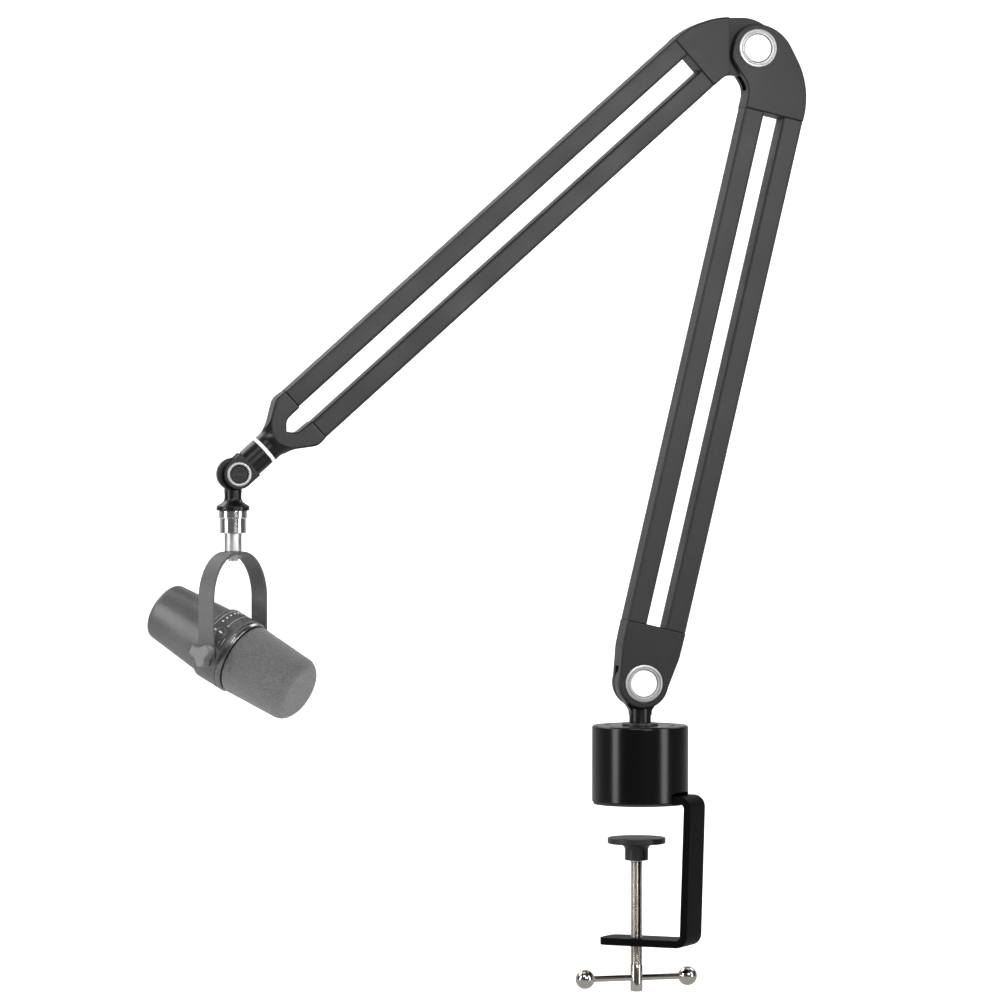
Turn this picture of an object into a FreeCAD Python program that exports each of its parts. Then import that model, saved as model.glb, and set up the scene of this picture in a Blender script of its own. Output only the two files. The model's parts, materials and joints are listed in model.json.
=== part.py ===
import FreeCAD, Part
import math
import os

import Sketcher
from FreeCAD import Placement, Rotation, Vector

# A broadcast microphone on a two-section boom arm that clamps to a desk edge.
# Frame: origin on the swivel axis, at the underside of the base; +Z up; the arm folds
# in the XZ plane with the microphone at -X; -Y is the front.  All lengths in millimetres.

DRIVING_SIZES = {
    # base and desk clamp
    "base_radius": 31.4,
    "base_height": 51.3,
    "base_wall": 4,
    "foot_thick": 1.5,
    "bush_radius": 9,
    "collar_radius": 11.8,
    "collar_height": 1.6,
    "journal_radius": 5.5,
    "neck_radius": 7.1,
    "running_fit": 0.05,
    "clamp_heading": -35,
    "bar_width": 26,
    "bar_thick": 4.8,
    "bar_reach": 38.4,
    "bar_lean": 3,
    "jaw_depth": 87.2,
    "jaw_end": 25,
    "screw_offset": 2.5,
    "screw_radius": 4,
    "screw_end": 122.5,
    "pad_radius": 18.9,
    "pad_top": 22,
    "pad_height": 14.9,
    "handle_radius": 2,
    "handle_span": 70.6,
    "handle_level": 113.6,
    "ball_radius": 6.25,
    "handle_heading": 7,
    # arm
    "hinge_height": 78.9,
    "lower_lean": 13.2,
    "upper_droop": 48.15,
    "channel_width": 13.2,
    "channel_depth": 22,
    "channel_wall": 1.5,
    "channel_pitch": 13.2,
    "channel_length": 341.5,
    "channel_start": 38,
    "hinge_span": 419,
    "hinge_offset": 20.7,
    "bracket_depth": 24,
    "slot_width": 10.4,
    "eye_thick": 8.4,
    "eye_radius": 15.8,
    "lower_eye": 16.3,
    "axle_radius": 4,
    "ring_lower": 12.3,
    "ring_elbow": 12.5,
    "coil_radius": 3.6,
    "wire_radius": 0.7,
    "coil_pitch": 8,
    "coil_length": 160,
    # head
    "head_reach": 413,
    "neck_round": 9.6,
    "knuckle_span": 24.2,
    "knuckle_radius": 9.5,
    "knuckle_depth": 19,
    "knuckle_slot": 6.6,
    "stem_offset": 2.9,
    "stem_radius": 5.5,
    "stem_flange": 10.6,
    "sleeve_radius": 8.4,
    # microphone
    "pivot_drop": 114.2,
    "mic_heading": 50.5,
    "mic_tilt": 26.4,
    "yoke_half": 31.9,
    "yoke_thick": 1.8,
    "yoke_width": 11,
    "yoke_top": 64.6,
    "collar_mic": 24.5,
    "body_front": 22.75,
    "body_back": 19.25,
    "mic_back": 58,
    "mic_front": 55.8,
    "foam_radius": 23.8,
    "foam_tip": 21.4,
}


class Size:
    """A length worked out from the sheet, with the expression that keeps it bound."""

    def __init__(self, value, text):
        self.value = value
        self.text = text

    def with_other(self, sign, other, value):
        return Size(value, f"({self.text} {sign} {text_of(other)})")

    def __add__(self, other):
        return self.with_other("+", other, self.value + value_of(other))

    def __radd__(self, other):
        return self + other

    def __sub__(self, other):
        return self.with_other("-", other, self.value - value_of(other))

    def __rsub__(self, other):
        return -self + other

    def __mul__(self, other):
        return self.with_other("*", other, self.value * value_of(other))

    def __rmul__(self, other):
        return self * other

    def __truediv__(self, other):
        return self.with_other("/", other, self.value / value_of(other))

    def __neg__(self):
        return Size(-self.value, f"(-1 * {self.text})")


def value_of(number):
    return number.value if isinstance(number, Size) else float(number)


def text_of(number):
    return number.text if isinstance(number, Size) else f"{float(number):.6f}"


class Sheet:
    """The driving sizes: a spreadsheet in the document, read here by name."""

    def __init__(self, document, sizes):
        self.cells = document.addObject("Spreadsheet::Sheet", "Sizes")
        for row, (name, value) in enumerate(sizes.items(), start=1):
            self.cells.set(f"A{row}", name)
            self.cells.set(f"B{row}", str(value))
            self.cells.setAlias(f"B{row}", name)
        document.recompute()

    def __getattr__(self, name):
        return Size(float(self.cells.get(name)), f"Sizes.{name}")


doc = FreeCAD.newDocument("boom_arm_microphone")
dim = Sheet(doc, DRIVING_SIZES)
nodes = []


# ---------------------------------------------------------------- helpers


def bind(thing, name, size):
    """Give a property its size, and tie it to the sheet where it comes from there."""
    if isinstance(size, Size):
        thing.setExpression(name, size.text)
    else:
        setattr(thing, name, float(size))


def keep(thing):
    """Count an object as one of the sub-parts."""
    nodes.append(thing)
    return thing


def new_body(label, place):
    body = doc.addObject("PartDesign::Body", label)
    body.Label = label
    body.Placement = place
    return body


def new_sketch(body, plane, lift=0.0):
    """An empty sketch on one of the body's own origin planes, raised along its normal."""
    support = [face for face in body.Origin.OriginFeatures if face.Role == plane][0]
    sketch = body.newObject("Sketcher::SketchObject", body.Label + "_sketch")
    sketch.AttachmentSupport = [(support, "")]
    sketch.MapMode = "FlatFace"
    sketch.AttachmentOffset = Placement(Vector(0, 0, value_of(lift)), Rotation())
    if isinstance(lift, Size):
        sketch.setExpression("AttachmentOffset.Base.z", lift.text)
    return sketch


def hold(sketch, geometry, vertex, x, y):
    """Dimension a point of the sketch from its origin."""
    for direction, size in (("X", x), ("Y", y)):
        fixed = Sketcher.Constraint(
            "Distance" + direction, -1, 1, geometry, vertex, value_of(size)
        )
        number = sketch.addConstraint(fixed)
        if isinstance(size, Size):
            sketch.setExpression(f"Constraints[{number}]", size.text)


def draw_circle(sketch, x, y, radius):
    centre = Vector(value_of(x), value_of(y), 0)
    circle = Part.Circle(centre, Vector(0, 0, 1), value_of(radius))
    number = sketch.addGeometry(circle, False)
    hold(sketch, number, 3, x, y)
    fixed = sketch.addConstraint(
        Sketcher.Constraint("Radius", number, value_of(radius))
    )
    if isinstance(radius, Size):
        sketch.setExpression(f"Constraints[{fixed}]", radius.text)


def corner_arc(before, corner, after, radius):
    """Where a rounded corner starts and ends, and its centre."""
    back = (before - corner).normalize()
    ahead = (after - corner).normalize()
    half = back.getAngle(ahead) / 2
    reach = radius / math.tan(half)
    middle = (back + ahead).normalize()
    return corner + back * reach, corner + ahead * reach, corner + middle * (radius / math.sin(half))


def draw_outline(sketch, corners):
    """A closed outline through corners of (x, y) or, where it is rounded, (x, y, radius)."""
    count = len(corners)
    points = [Vector(value_of(c[0]), value_of(c[1]), 0) for c in corners]
    starts, ends, centres = list(points), list(points), [None] * count
    for i, corner in enumerate(corners):
        if len(corner) == 3:
            starts[i], ends[i], centres[i] = corner_arc(
                points[i - 1], points[i], points[(i + 1) % count], value_of(corner[2])
            )
    lines = []
    for i in range(count):
        side = Part.LineSegment(ends[i], starts[(i + 1) % count])
        lines.append(sketch.addGeometry(side, False))
    for i, corner in enumerate(corners):
        before, after = lines[i - 1], lines[i]
        if len(corner) == 2:
            sketch.addConstraint(Sketcher.Constraint("Coincident", before, 2, after, 1))
            hold(sketch, after, 1, corner[0], corner[1])
            continue
        turn = (points[i] - starts[i]).cross(ends[i] - points[i]).z
        first, last = (starts[i], ends[i]) if turn > 0 else (ends[i], starts[i])
        angles = [math.atan2(p.y - centres[i].y, p.x - centres[i].x) for p in (first, last)]
        circle = Part.Circle(centres[i], Vector(0, 0, 1), value_of(corner[2]))
        arc = sketch.addGeometry(Part.ArcOfCircle(circle, angles[0], angles[1]), False)
        entry, leave = (1, 2) if turn > 0 else (2, 1)
        sketch.addConstraint(Sketcher.Constraint("Tangent", before, 2, arc, entry))
        sketch.addConstraint(Sketcher.Constraint("Tangent", arc, leave, after, 1))
        fixed = sketch.addConstraint(
            Sketcher.Constraint("Radius", arc, value_of(corner[2]))
        )
        if isinstance(corner[2], Size):
            sketch.setExpression(f"Constraints[{fixed}]", corner[2].text)
        tip = sketch.addGeometry(Part.Point(points[i]), True)
        sketch.addConstraint(Sketcher.Constraint("PointOnObject", tip, 1, before))
        sketch.addConstraint(Sketcher.Constraint("PointOnObject", tip, 1, after))
        hold(sketch, tip, 1, corner[0], corner[1])


def draw_rectangle(sketch, x, y, width, height, radius=None):
    """A rectangle centred at x, y, with its corners rounded if a radius is given."""
    ends = (radius,) if radius is not None else ()
    corners = [
        (x - width / 2, y - height / 2) + ends,
        (x + width / 2, y - height / 2) + ends,
        (x + width / 2, y + height / 2) + ends,
        (x - width / 2, y + height / 2) + ends,
    ]
    draw_outline(sketch, corners)


def extrude(body, kind, sketch, length, both_ways=False, reverse=False):
    """Add (Pad) or remove (Pocket) the sketch's shape along its normal."""
    feature = body.newObject("PartDesign::" + kind, body.Label + "_" + kind.lower())
    feature.Profile = sketch
    feature.Reversed = reverse
    if both_ways:
        feature.SideType = "Symmetric"
    bind(feature, "Length", length)
    return feature


def add(body, sketch, length, **options):
    return extrude(body, "Pad", sketch, length, **options)


def cut(body, sketch, length, **options):
    """Remove material, and make sure that some was there."""
    doc.recompute()
    before = body.Shape.Volume
    feature = extrude(body, "Pocket", sketch, length, **options)
    doc.recompute()
    if not body.Shape.Volume < before - 1e-6:
        raise ValueError(f"a pocket in {body.Label} cuts nothing")
    return feature


def turn(body, corners, kind="Revolution"):
    """Turn an outline of (radius, level) corners about the body's Z axis."""
    sketch = new_sketch(body, "XZ_Plane")
    draw_outline(sketch, corners)
    feature = body.newObject("PartDesign::" + kind, body.Label + "_turned")
    feature.Profile = sketch
    feature.ReferenceAxis = (sketch, ["V_Axis"])
    feature.Angle = 360
    return feature


def turned(label, place, corners):
    body = new_body(label, place)
    turn(body, corners)
    return body


def soften(body, radius, wanted):
    """Round the edges of the body that the test picks."""
    doc.recompute()
    base = body.Tip
    names = [f"Edge{n}" for n, edge in enumerate(base.Shape.Edges, 1) if wanted(edge)]
    feature = body.newObject("PartDesign::Fillet", body.Label + "_rounding")
    feature.Base = (base, names)
    feature.Radius = radius
    doc.recompute()
    if "Invalid" in feature.State:
        raise ValueError(f"a rounding on {body.Label} failed")
    return feature


def on_faces_at(depth):
    """Picks the edges that lie wholly in the two planes y = +depth and y = -depth."""

    def wanted(edge):
        box = edge.BoundBox
        flat = box.YLength < 1e-6
        return flat and abs(abs(box.YMin) - depth) < 1e-6

    return wanted


def group(label, members):
    """Identical pieces that share one node, as separate solids."""
    together = doc.addObject("Part::Compound", label)
    together.Label = label
    together.Links = members
    return together


def subtract(label, whole, tool):
    """The first object less the second, under a label of its own."""
    result = doc.addObject("Part::Cut", label)
    result.Label = label
    result.Base = whole
    result.Tool = tool
    return result


def sector(name, place, outer, inner, low, high, start, sweep):
    """Part of a ring about Z, from the start angle through the sweep, in degrees."""
    shells = []
    for radius, overlap in ((outer, 0.0), (inner, 1.0)):
        slab = doc.addObject("Part::Cylinder", name + "_slab")
        bind(slab, "Radius", radius)
        bind(slab, "Height", high - low + 2 * overlap)
        slab.Angle = sweep + 4 * overlap
        lift = Vector(0, 0, value_of(low) - overlap)
        slab.Placement = place * Placement(lift, about_z(start - 2 * overlap))
        shells.append(slab)
    return subtract(name, shells[0], shells[1])


def about_z(angle):
    return Rotation(Vector(0, 0, 1), value_of(angle))


def about_y(angle):
    return Rotation(Vector(0, 1, 0), value_of(angle))


def about_x(angle):
    return Rotation(Vector(1, 0, 0), value_of(angle))


def at(place, x=0.0, y=0.0, z=0.0, rotation=Rotation()):
    """A placement moved and turned within another one."""
    point = Vector(value_of(x), value_of(y), value_of(z))
    return place * Placement(point, rotation)


# ---------------------------------------------------------------- frames

HALF_TURN = about_x(180)
WORLD = Placement()
BASE = Placement(Vector(), about_z(dim.clamp_heading))
LOWER_HINGE = Placement(Vector(0, 0, dim.hinge_height.value), Rotation())
LOWER = at(LOWER_HINGE, rotation=about_y(dim.lower_lean))
ELBOW = at(LOWER, x=-dim.hinge_offset, z=dim.hinge_span)
FORK = at(ELBOW, rotation=HALF_TURN)
UPPER = Placement(ELBOW.Base, about_y(180 + dim.upper_droop))
HEAD = at(UPPER, x=dim.hinge_offset, z=dim.head_reach)
YOKE_END = at(HEAD, rotation=HALF_TURN)
KNUCKLE = at(HEAD, z=dim.knuckle_span)
STEM = Placement(KNUCKLE.Base - Vector(dim.stem_offset.value, 0, 0), Rotation())
MOUNT = at(STEM, z=-dim.pivot_drop, rotation=about_z(dim.mic_heading))
MIC = at(MOUNT, rotation=about_x(dim.mic_tilt))
MIC_AXIS = at(MIC, rotation=about_x(90))
SCREW = at(BASE, x=-dim.screw_offset)
HANDLE = Placement(
    SCREW.Base - Vector(0, 0, dim.handle_level.value), about_z(dim.handle_heading)
)


# ---------------------------------------------------------------- base and clamp

BUSH_LEVEL = 20
BOLT_REACH = 20
BOSS_RADIUS = 4.5
BAR_START = -22
BAR_BEND = 3


def base_housing():
    """A cast cup, open below, with a central boss for the bush and two screw bosses."""
    inner = dim.base_radius - dim.base_wall
    roof = dim.base_height - dim.base_wall - 1
    shell = new_body("housing_shell", BASE)
    turn(shell, [
        (dim.bush_radius, dim.base_height),
        (dim.bush_radius, BUSH_LEVEL),
        (dim.bush_radius + 4, BUSH_LEVEL),
        (dim.bush_radius + 4, roof, 1),
        (inner, roof, 1),
        (inner, dim.foot_thick),
        (dim.base_radius, dim.foot_thick, 0.8),
        (dim.base_radius, dim.base_height, 1.6),
    ])
    bosses = new_sketch(shell, "XY_Plane", dim.foot_thick + dim.bar_thick)
    for side in (-1, 1):
        draw_circle(bosses, side * BOLT_REACH, 0, BOSS_RADIUS)
    add(shell, bosses, roof + 1 - dim.foot_thick - dim.bar_thick)
    holes = new_sketch(shell, "XY_Plane", 19)
    for side in (-1, 1):
        draw_circle(holes, side * BOLT_REACH, 0, 2.02)
    cut(shell, holes, 16)
    notch = new_sketch(shell, "YZ_Plane", 23.5)
    draw_rectangle(notch, 0, 4.25, dim.bar_width + 2, 8.5)
    cut(shell, notch, 12, reverse=True)

    slots = []
    top = dim.base_height - 1.2
    for n in range(6):
        start = 60 * n + 14 - dim.clamp_heading.value
        slots.append(sector("vent", BASE, 23.2, 21.2, top, dim.base_height + 1, start, 32))
    tool = group("vents", slots)
    return subtract("base_housing", shell, tool)


def foot_pad():
    """Rubber disc that stands on the desk."""
    radius = dim.base_radius - 0.9
    return turned("foot_pad", BASE, [
        (0, 0),
        (radius, 0, 0.6),
        (radius, dim.foot_thick),
        (0, dim.foot_thick),
    ])


def swivel_bushing():
    bore = dim.journal_radius + dim.running_fit
    rim = dim.base_height + dim.collar_height
    return turned("swivel_bushing", WORLD, [
        (bore, BUSH_LEVEL),
        (dim.bush_radius - 0.02, BUSH_LEVEL),
        (dim.bush_radius - 0.02, dim.base_height),
        (dim.collar_radius, dim.base_height),
        (dim.collar_radius, rim, 0.6),
        (bore, rim),
    ])


def thrust_washer():
    return turned("thrust_washer", WORLD, [
        (dim.journal_radius + dim.running_fit, 18),
        (10, 18),
        (10, 19.95),
        (dim.journal_radius + dim.running_fit, 19.95),
    ])


def retaining_ring():
    return turned("retaining_ring", WORLD, [
        (dim.journal_radius - 1.05, 16),
        (8, 16),
        (8, 17.6),
        (dim.journal_radius - 1.05, 17.6),
    ])


def clamp_bracket():
    """One flat bar bent into a C: under the base, down past the desk edge, and back."""
    top = dim.foot_thick + dim.bar_thick
    outer = dim.bar_reach + dim.bar_thick / 2
    inner = dim.bar_reach - dim.bar_thick / 2
    floor = -dim.jaw_depth - dim.bar_thick
    body = new_body("clamp_bracket", BASE)
    side = new_sketch(body, "XZ_Plane")
    draw_outline(side, [
        (BAR_START, dim.foot_thick),
        (inner, dim.foot_thick, BAR_BEND),
        (inner - dim.bar_lean, -dim.jaw_depth, BAR_BEND),
        (-dim.jaw_end, -dim.jaw_depth),
        (-dim.jaw_end, floor),
        (outer - dim.bar_lean, floor, BAR_BEND + dim.bar_thick),
        (outer, top, BAR_BEND + dim.bar_thick),
        (BAR_START, top),
    ])
    add(body, side, dim.bar_width, both_ways=True)
    thread = new_sketch(body, "XY_Plane", -dim.jaw_depth + 2)
    draw_circle(thread, -dim.screw_offset, 0, dim.screw_radius + dim.running_fit)
    cut(body, thread, 12)
    shanks = new_sketch(body, "XY_Plane", 8)
    for side_of in (-1, 1):
        draw_circle(shanks, side_of * BOLT_REACH, 0, 2.1)
    cut(body, shanks, 8)
    heads = new_sketch(body, "XY_Plane", dim.foot_thick + 2.4)
    for side_of in (-1, 1):
        draw_circle(heads, side_of * BOLT_REACH, 0, 4.1)
    cut(body, heads, 4)
    end = -dim.jaw_end.value

    def jaw_corner(edge):
        box = edge.BoundBox
        upright = box.XLength < 1e-6 and box.YLength < 1e-6
        return upright and abs(box.XMin - end) < 1e-6

    soften(body, 7, jaw_corner)

    def long_rim(edge):
        box = edge.BoundBox
        at_side = abs(abs(box.YMin) - dim.bar_width.value / 2) < 1e-6
        return box.YLength < 1e-6 and at_side and box.ZLength + box.XLength > 5

    soften(body, 0.5, long_rim)
    return body


def bracket_screws():
    """Two M4 screws, heads let into the underside of the bracket."""
    low = dim.foot_thick + 0.1
    screws = []
    for side in (-1, 1):
        screws.append(turned("bracket_screw", at(BASE, x=side * BOLT_REACH), [
            (0, low + 1.2),
            (1.2, low + 1.2),
            (1.2, low),
            (4, low, 0.3),
            (4, low + 2.2),
            (2, low + 2.2),
            (2, 17),
            (0, 17),
        ]))
    return group("bracket_screws", screws)


def swivel_post():
    """Journal, neck and the flat eye that the lower hinge turns on."""
    eye = dim.hinge_height
    shoulder = dim.base_height + dim.collar_height + dim.running_fit
    body = new_body("swivel_post", WORLD)
    turn(body, [
        (0, 13),
        (dim.journal_radius, 13, 0.8),
        (dim.journal_radius, 15.95),
        (dim.journal_radius - 1.1, 15.95),
        (dim.journal_radius - 1.1, 17.65),
        (dim.journal_radius, 17.65),
        (dim.journal_radius, shoulder),
        (dim.neck_radius, shoulder),
        (dim.neck_radius, eye - 16.5, 0.5),
        (0, eye - 16.5),
    ])
    gusset = new_sketch(body, "XZ_Plane")
    draw_outline(gusset, [
        (-dim.neck_radius + 0.2, eye - 21),
        (dim.neck_radius - 0.2, eye - 21),
        (dim.neck_radius - 0.2, eye - 18, 4),
        (12.4, eye - 10),
        (-12.4, eye - 10),
        (-dim.neck_radius + 0.2, eye - 18, 4),
    ])
    add(body, gusset, dim.eye_thick, both_ways=True)
    disc = new_sketch(body, "XZ_Plane")
    draw_circle(disc, 0, eye, dim.lower_eye)
    add(body, disc, dim.eye_thick, both_ways=True)
    bore = new_sketch(body, "XZ_Plane")
    draw_circle(bore, 0, eye, dim.axle_radius + dim.running_fit)
    cut(body, bore, 30, both_ways=True)
    return body


def clamp_pad():
    """Swivel foot that presses up against the underside of the desk."""
    top = -dim.pad_top
    low = top - dim.pad_height
    rim = 3.9
    neck = 7.6
    return turned("clamp_pad", SCREW, [
        (0, top),
        (dim.pad_radius, top, 0.8),
        (dim.pad_radius, top - rim, 0.8),
        (neck, top - rim - 1.1, 3.5),
        (neck, low, 0.6),
        (dim.screw_radius - 0.95, low),
        (dim.screw_radius - 0.95, top - 6),
        (0, top - 6),
    ])


def clamp_screw():
    """M8 spindle: a reduced tip turns in the pad; the tommy bar slides through its foot."""
    tip = -dim.pad_top - 6.3
    low = -dim.pad_top - dim.pad_height - 0.3
    body = turned("clamp_screw", SCREW, [
        (0, tip),
        (dim.screw_radius - 1, tip, 0.5),
        (dim.screw_radius - 1, low),
        (dim.screw_radius, low, 0.4),
        (dim.screw_radius, -dim.screw_end, 0.8),
        (0, -dim.screw_end),
    ])
    cross = new_sketch(body, "XZ_Plane")
    draw_circle(cross, 0, -dim.handle_level, dim.handle_radius + dim.running_fit)
    cut(body, cross, 20, both_ways=True)
    body.Placement = at(SCREW, rotation=about_z(value_of(dim.handle_heading) - dim.clamp_heading.value + 90))
    return body


def handle_bar():
    half = dim.handle_span / 2
    return turned("handle_bar", at(HANDLE, rotation=about_y(90)), [
        (0, -half - 2),
        (dim.handle_radius, -half - 2, 0.4),
        (dim.handle_radius, half + 2, 0.4),
        (0, half + 2),
    ])


def handle_balls():
    balls = []
    for side in (-1, 1):
        place = at(HANDLE, x=side * dim.handle_span / 2, rotation=about_y(side * 90))
        body = new_body("handle_ball", place)
        sketch = new_sketch(body, "XZ_Plane")
        radius = dim.ball_radius.value
        arc = Part.ArcOfCircle(Part.Circle(Vector(), Vector(0, 0, 1), radius), -math.pi / 2, math.pi / 2)
        curve = sketch.addGeometry(arc, False)
        side_line = sketch.addGeometry(
            Part.LineSegment(Vector(0, radius, 0), Vector(0, -radius, 0)), False
        )
        sketch.addConstraint(Sketcher.Constraint("Coincident", curve, 2, side_line, 1))
        sketch.addConstraint(Sketcher.Constraint("Coincident", curve, 1, side_line, 2))
        sketch.addConstraint(Sketcher.Constraint("Coincident", curve, 3, -1, 1))
        sketch.addConstraint(Sketcher.Constraint("PointOnObject", side_line, 1, -2))
        sketch.addConstraint(Sketcher.Constraint("PointOnObject", side_line, 2, -2))
        fixed = sketch.addConstraint(Sketcher.Constraint("Radius", curve, radius))
        sketch.setExpression(f"Constraints[{fixed}]", dim.ball_radius.text)
        globe = body.newObject("PartDesign::Revolution", "globe")
        globe.Profile = sketch
        globe.ReferenceAxis = (sketch, ["V_Axis"])
        globe.Angle = 360
        hole = new_sketch(body, "XY_Plane", 2.01)
        draw_circle(hole, 0, 0, dim.handle_radius + 0.01)
        cut(body, hole, 12)
        balls.append(body)
    return group("handle_balls", balls)


# ---------------------------------------------------------------- hinge hardware


def bore_hinge(body, x, level, depth, bolt, seat, seat_level, ring, ring_level):
    """Bolt hole, head seats and cap recesses through both faces of a fork or clevis."""
    hole = new_sketch(body, "XZ_Plane")
    draw_circle(hole, x, level, bolt)
    cut(body, hole, depth + 20, both_ways=True)
    for radius, bottom in ((seat, seat_level), (ring, ring_level)):
        for front in (True, False):
            lift = depth / 2 if front else -depth / 2
            sketch = new_sketch(body, "XZ_Plane", lift)
            draw_circle(sketch, x, level, radius)
            cut(body, sketch, depth / 2 - bottom, reverse=not front)


def bore_arm_hinge(body, x, level, ring):
    bore_hinge(body, x, level, dim.bracket_depth, dim.axle_radius + 0.02, 7.5, 7.0, ring + 0.05, 10.5)


def hex_corners(across):
    """The six corners of a nut, from its width across the flats."""
    reach = across / math.sqrt(3)
    return [
        (reach * math.cos(math.radians(60 * n)), reach * math.sin(math.radians(60 * n)))
        for n in range(6)
    ]


def socket_bolt(label, place, shank, head, head_low, head_high, end, key):
    """A bolt along Z with its socket head towards +Z."""
    body = turned(label, place, [
        (0, end),
        (shank, end, 0.3),
        (shank, head_low),
        (head, head_low),
        (head, head_high, 0.4),
        (0, head_high),
    ])
    socket = new_sketch(body, "XY_Plane", head_high)
    draw_outline(socket, hex_corners(key))
    cut(body, socket, (head_high - head_low) * 0.6)
    return body


def hex_nut(label, place, across, bore, low, high):
    body = new_body(label, place)
    sketch = new_sketch(body, "XY_Plane", low)
    draw_outline(sketch, hex_corners(across))
    draw_circle(sketch, 0, 0, bore)
    add(body, sketch, high - low)
    return body


def facing(place, front=True):
    """The same point with Z along -Y (front) or +Y (back)."""
    return at(place, rotation=about_x(90 if front else -90))


def hinge_bolts():
    bolts = []
    for place in (LOWER, ELBOW):
        bolts.append(socket_bolt(
            "hinge_bolt", facing(place), dim.axle_radius, 6.8, 7.05, 10.3, -10.3, 5
        ))
    return group("hinge_bolts", bolts)


def hinge_nuts():
    nuts = []
    for place in (LOWER, ELBOW):
        nuts.append(hex_nut(
            "hinge_nut", facing(place, False), 12.6, dim.axle_radius + 0.01, 7.05, 10.2
        ))
    return group("hinge_nuts", nuts)


def hinge_washers():
    """Friction washers either side of each hinge eye."""
    low = dim.eye_thick / 2 + 0.03
    high = dim.slot_width / 2 - 0.03
    washers = []
    for place in (LOWER, ELBOW):
        for front in (True, False):
            washers.append(turned("hinge_washer", facing(place, front), [
                (dim.axle_radius + 0.04, low),
                (11.5, low),
                (11.5, high),
                (dim.axle_radius + 0.04, high),
            ]))
    return group("hinge_washers", washers)


def cap_rings(label, place, outer, inner):
    """Bright rings set into both faces of a hinge, standing a little proud."""
    rings = []
    for front in (True, False):
        rings.append(turned("cap_ring", facing(place, front), [
            (inner, 10.55),
            (outer, 10.55),
            (outer, 13.1, 0.7),
            (inner, 13.1, 0.5),
        ]))
    return group(label, rings)


def cap_discs(label, place, radius):
    discs = []
    for front in (True, False):
        discs.append(turned("cap_disc", facing(place, front), [
            (0, 10.55),
            (radius, 10.55),
            (radius, 12.1, 0.3),
            (0, 12.1),
        ]))
    return group(label, discs)


# ---------------------------------------------------------------- arm


def add_spigots(body, centre, level):
    """Two tongues that the channels are pushed over."""
    width = dim.channel_width - 2 * dim.channel_wall - 0.1
    depth = dim.channel_depth - 2 * dim.channel_wall - 0.1
    sketch = new_sketch(body, "XY_Plane", level)
    for side in (-1, 1):
        draw_rectangle(sketch, centre + side * dim.channel_pitch, 0, width, depth, 1.1)
    add(body, sketch, 14)


def lower_clevis():
    """Two ears about the post's eye, widening to the channels."""
    half = dim.channel_pitch + dim.channel_width / 2
    eye = dim.lower_eye
    body = new_body("lower_clevis", LOWER)
    side = new_sketch(body, "XZ_Plane")
    draw_outline(side, [
        (-half, dim.channel_start, 1),
        (-half + 0.3, 21, 24),
        (-eye - 0.2, 1, 16),
        (-eye, -eye, eye - 0.1),
        (eye, -eye, eye - 0.1),
        (eye + 0.2, 1, 16),
        (half - 0.3, 21, 24),
        (half, dim.channel_start, 1),
    ])
    add(body, side, dim.bracket_depth, both_ways=True)
    soften(body, 1.2, on_faces_at(dim.bracket_depth.value / 2))
    slot = new_sketch(body, "XZ_Plane")
    draw_circle(slot, 0, 0, eye + 2.7)
    cut(body, slot, dim.slot_width, both_ways=True)
    bore_arm_hinge(body, 0, 0, dim.ring_lower)
    add_spigots(body, 0, dim.channel_start)
    return body


def elbow_corners(block):
    """Side view of an elbow bracket: hinge at the origin, block of channels to one side."""
    half = dim.channel_pitch + dim.channel_width / 2
    inner = dim.hinge_offset - half
    outer = dim.hinge_offset + half
    eye = dim.eye_radius
    return [
        (inner, block, 1),
        (inner, 26, 14),
        (-eye, 10, 12),
        (-eye, -eye, eye - 0.3),
        (13.4, -eye, 27),
        (outer, 15.8, 54),
        (outer, block, 1),
    ]


def elbow_fork():
    """Upper end of the lower arm: two ears with a slot for the tongue."""
    block = dim.hinge_span - dim.channel_start - dim.channel_length
    body = new_body("elbow_fork", FORK)
    side = new_sketch(body, "XZ_Plane")
    draw_outline(side, elbow_corners(block))
    add(body, side, dim.bracket_depth, both_ways=True)
    soften(body, 1.2, on_faces_at(dim.bracket_depth.value / 2))
    slot = new_sketch(body, "XZ_Plane")
    draw_circle(slot, 0, 0, 27.6)
    cut(body, slot, dim.slot_width, both_ways=True)
    bore_arm_hinge(body, 0, 0, dim.ring_elbow)
    add_spigots(body, dim.hinge_offset, block)
    return body


def elbow_tongue():
    """Inner end of the upper arm: full depth at the channels, thin where it enters the fork."""
    body = new_body("elbow_tongue", UPPER)
    side = new_sketch(body, "XZ_Plane")
    draw_outline(side, elbow_corners(dim.channel_start))
    add(body, side, dim.bracket_depth, both_ways=True)
    soften(body, 1.2, on_faces_at(dim.bracket_depth.value / 2))
    for front in (True, False):
        lift = dim.bracket_depth / 2 + 1 if front else -dim.bracket_depth / 2 - 1
        step = new_sketch(body, "XZ_Plane", lift)
        draw_outline(step, [
            (-30, 53.1),
            (45, -14.8),
            (45, -40),
            (-30, -40),
        ])
        cut(body, step, dim.bracket_depth / 2 + 1 - dim.eye_thick / 2, reverse=not front)
    bore = new_sketch(body, "XZ_Plane")
    draw_circle(bore, 0, 0, dim.axle_radius + dim.running_fit)
    cut(body, bore, 60, both_ways=True)
    add_spigots(body, dim.hinge_offset, dim.channel_start)
    return body


PIN_RADIUS = 1.2
PIN_START = 22
PIN_END = PIN_START + 19 * 8


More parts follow.
